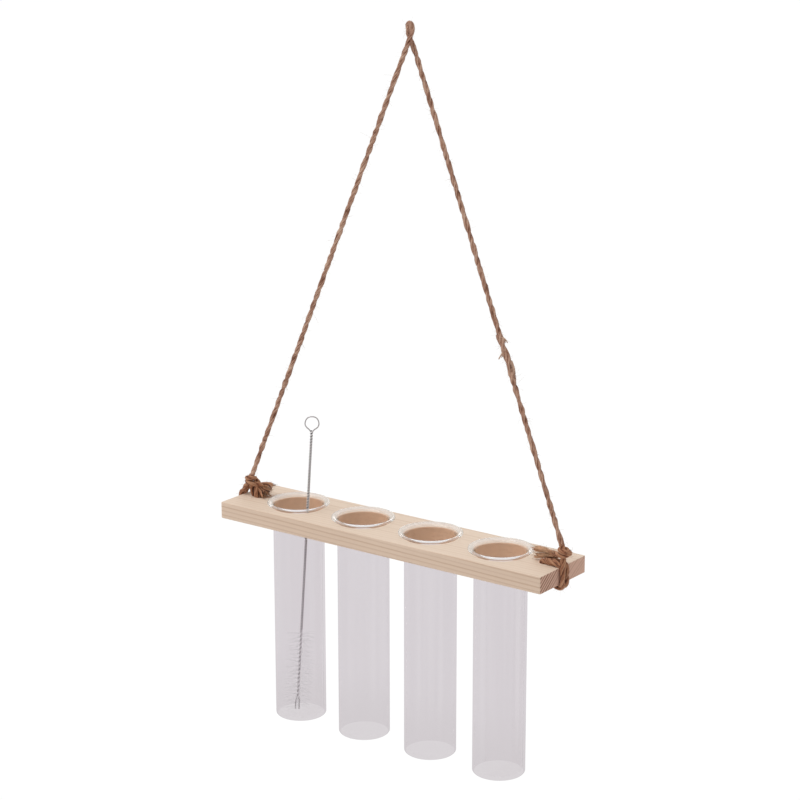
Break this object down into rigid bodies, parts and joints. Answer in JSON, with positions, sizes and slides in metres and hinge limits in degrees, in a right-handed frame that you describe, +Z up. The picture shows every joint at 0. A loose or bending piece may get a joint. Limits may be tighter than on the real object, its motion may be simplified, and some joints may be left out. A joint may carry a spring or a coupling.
{
  "type": "test tube vase",
  "caption": "Hanging flower vase: a pine board slung on jute twine carries flared glass tubes that lift out, with a twisted wire cleaning brush in one.",
  "frame": {"origin": "top of the nail that the twine's eye hangs on, where the twine rests on it", "axes": "+X along the board to the right, +Y to the wall behind, +Z up"},
  "size_m": [0.2312, 0.045, 0.414],
  "materials": {
    "pine": "plain planed pine, bare",
    "glass": "clear polished soda glass",
    "jute": "laid natural jute twine with loose fibres",
    "wire": "bright drawn steel wire, twisted",
    "nylon": "clear nylon strands"
  },
  "bodies": {
    "hanger": {"twine_hanger": "jute"},
    "rack": {"rack_board": "pine", "lashing_left": "jute", "lashing_right": "jute", "knot_left": "jute", "knot_right": "jute"},
    "tube_1": {"tube_1": "glass"},
    "tube_2": {"tube_2": "glass"},
    "tube_3": {"tube_3": "glass"},
    "tube_4": {"tube_4": "glass"},
    "brush": {"brush_wire": "wire", "brush_bristles": "nylon"}
  },
  "joints": [
    {"name": "rack_rock", "type": "hinge", "parent": "hanger", "child": "rack", "pos_m": [0, -0.01485, -0.267], "axis": [1, 0, 0], "range_deg": [-20, 20]},
    {"name": "tube_1_lift", "type": "slide", "parent": "rack", "child": "tube_1", "axis": [0, 0, 1], "range_m": [0, 0.044]},
    {"name": "tube_2_lift", "type": "slide", "parent": "rack", "child": "tube_2", "axis": [0, 0, 1], "range_m": [0, 0.136]},
    {"name": "tube_3_lift", "type": "slide", "parent": "rack", "child": "tube_3", "axis": [0, 0, 1], "range_m": [0, 0.136]},
    {"name": "tube_4_lift", "type": "slide", "parent": "rack", "child": "tube_4", "axis": [0, 0, 1], "range_m": [0, 0.054]},
    {"name": "brush_lift", "type": "slide", "parent": "tube_1", "child": "brush", "axis": [0, 0, 1], "range_m": [0, 0.14]}
  ]
}
